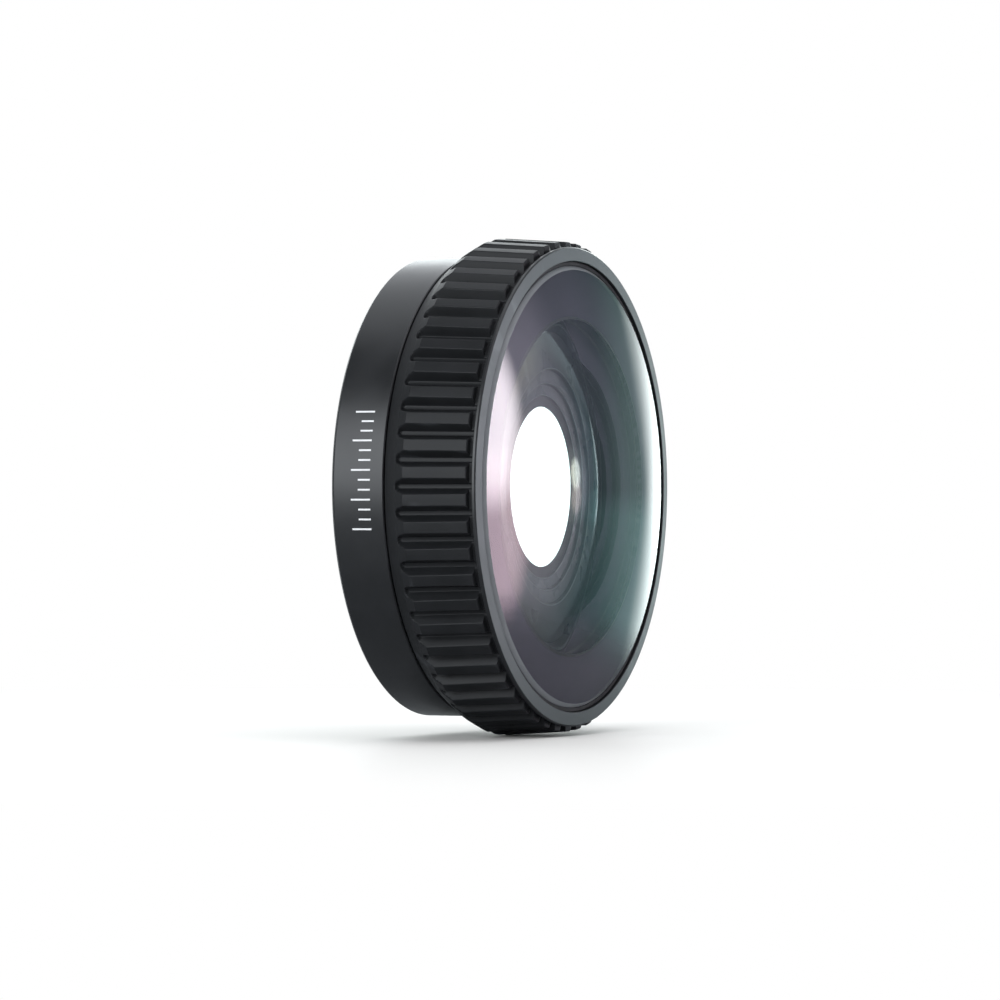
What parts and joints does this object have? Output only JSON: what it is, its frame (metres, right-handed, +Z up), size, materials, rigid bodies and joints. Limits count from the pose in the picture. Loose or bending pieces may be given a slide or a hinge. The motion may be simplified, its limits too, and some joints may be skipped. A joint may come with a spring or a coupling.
{
  "type": "action camera wide-angle lens",
  "caption": "Low round converter lens that slips over a camera's front and turns to lock, with a ribbed grip ring round a domed front glass.",
  "frame": {"origin": "centre of the rear seating face, on the optical axis", "axes": "+Y along the optical axis towards the camera, the front glass faces -Y, +Z up with the stop pin at the top"},
  "size_m": [0.046, 0.0167, 0.046],
  "materials": {
    "black_aluminium": "satin black anodised",
    "bezel_aluminium": "satin grey-black anodised",
    "black_plastic": "matte",
    "black_rubber": "matte",
    "steel": "brushed",
    "coated_glass": "polished, with a purple anti-reflection coating",
    "white_marks": "filled paint"
  },
  "bodies": {
    "base": {"base_ring": "black_aluminium", "index_marks": "white_marks", "rear_gasket": "black_rubber", "stop_pin": "steel", "wave_washer": "steel"},
    "lens_unit": {"lens_barrel": "black_aluminium", "friction_ring": "black_rubber", "bayonet_ring": "black_plastic", "bayonet_screws": "steel", "grip_ring": "black_aluminium", "drive_pins": "steel", "front_bezel": "bezel_aluminium", "front_seal": "black_rubber", "glass_mask": "black_plastic", "light_baffle": "black_plastic", "front_glass": "coated_glass", "crown_glass": "coated_glass", "flint_glass": "coated_glass", "rear_retainer": "black_plastic"}
  },
  "joints": [
    {"name": "grip_turn", "type": "hinge", "parent": "base", "child": "lens_unit", "pos_m": [0, 0, 0], "axis": [0, 1, 0], "range_deg": [0, 60]}
  ]
}
